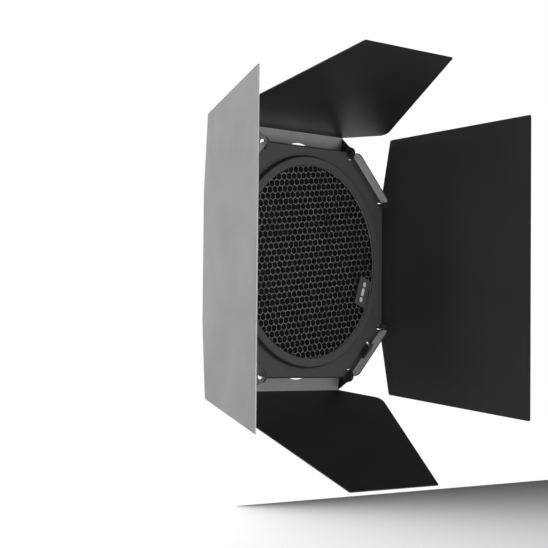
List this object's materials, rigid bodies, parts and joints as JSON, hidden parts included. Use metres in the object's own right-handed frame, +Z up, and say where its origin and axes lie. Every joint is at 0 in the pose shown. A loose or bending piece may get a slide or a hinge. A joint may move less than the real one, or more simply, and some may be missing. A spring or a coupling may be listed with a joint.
{
  "type": "barn door attachment",
  "caption": "Barn door for a studio reflector: octagonal frame with raised ring and honeycomb grid, hinged flared leaves, and claws on the back that grip the reflector's rim.",
  "frame": {"origin": "on the optical axis, in the plane of the frame plate's back face, where the plate meets the reflector that carries it", "axes": "-Y is the front, the way the light leaves; +Y points back into the reflector; +Z is up; +X is to the right seen along +Y"},
  "size_m": [0.3792, 0.1319, 0.3751],
  "materials": {
    "frame_paint": "satin",
    "leaf_paint": "satin",
    "rivet_steel": "satin",
    "washer_plastic": "matte",
    "grid_rim_paint": "satin",
    "honeycomb": "satin",
    "tag": "satin",
    "spring_steel": "satin",
    "screw_zinc": "satin",
    "pad_rubber": "matte"
  },
  "bodies": {
    "frame": {"claw_lower_left": "frame_paint", "claw_pad_lower_left": "pad_rubber", "claw_pad_upper_left": "pad_rubber", "claw_pad_upper_right": "pad_rubber", "claw_stud": "screw_zinc", "claw_upper_left": "frame_paint", "claw_upper_right": "frame_paint", "flange_rivet": "rivet_steel", "frame_plate": "frame_paint", "friction_washer_bottom_a": "washer_plastic", "friction_washer_bottom_b": "washer_plastic", "friction_washer_left_a": "washer_plastic", "friction_washer_left_b": "washer_plastic", "friction_washer_right_a": "washer_plastic", "friction_washer_right_b": "washer_plastic", "friction_washer_top_a": "washer_plastic", "friction_washer_top_b": "washer_plastic", "grid_clip_1": "spring_steel", "grid_clip_2": "spring_steel", "grid_clip_3": "spring_steel", "grid_rim": "grid_rim_paint", "grid_tag": "tag", "hinge_bracket_bottom_a": "frame_paint", "hinge_bracket_bottom_b": "frame_paint", "hinge_bracket_left_a": "frame_paint", "hinge_bracket_left_b": "frame_paint", "hinge_bracket_right_a": "frame_paint", "hinge_bracket_right_b": "frame_paint", "hinge_bracket_top_a": "frame_paint", "hinge_bracket_top_b": "frame_paint", "hinge_rivet_bottom_a": "rivet_steel", "hinge_rivet_bottom_b": "rivet_steel", "hinge_rivet_left_a": "rivet_steel", "hinge_rivet_left_b": "rivet_steel", "hinge_rivet_right_a": "rivet_steel", "hinge_rivet_right_b": "rivet_steel", "hinge_rivet_top_a": "rivet_steel", "hinge_rivet_top_b": "rivet_steel", "honeycomb_core": "honeycomb"},
    "leaf_top": {"leaf_top": "leaf_paint"},
    "leaf_right": {"leaf_right": "leaf_paint"},
    "leaf_bottom": {"leaf_bottom": "leaf_paint"},
    "leaf_left": {"leaf_left": "leaf_paint"},
    "sliding_claw": {"claw_sliding": "frame_paint", "claw_pad_sliding": "pad_rubber"},
    "thumb_nut": {"claw_nut": "screw_zinc"}
  },
  "joints": [
    {"name": "leaf_top_hinge", "type": "hinge", "parent": "frame", "child": "leaf_top", "pos_m": [0, -0.00072, 0.10237], "axis": [-1, 0, 0], "range_deg": [-70.2, 64.8]},
    {"name": "leaf_right_hinge", "type": "hinge", "parent": "frame", "child": "leaf_right", "pos_m": [0.10237, -0.00072, 0], "axis": [0, 0, 1], "range_deg": [-52.9, 55.1]},
    {"name": "leaf_bottom_hinge", "type": "hinge", "parent": "frame", "child": "leaf_bottom", "pos_m": [0, -0.00072, -0.10237], "axis": [1, 0, 0], "range_deg": [-79.2, 55.8]},
    {"name": "leaf_left_hinge", "type": "hinge", "parent": "frame", "child": "leaf_left", "pos_m": [-0.10237, -0.00072, 0], "axis": [0, 0, -1], "range_deg": [-44.8, 63.2]},
    {"name": "claw_slide", "type": "slide", "parent": "frame", "child": "sliding_claw", "axis": [-0.7071, 0, 0.7071], "range_m": [0, 0.00227]},
    {"name": "thumb_nut_turn", "type": "hinge", "parent": "frame", "child": "thumb_nut", "pos_m": [0.07407, 0.00362, -0.07407], "axis": [0, 1, 0], "range_deg": [0, 360]}
  ]
}
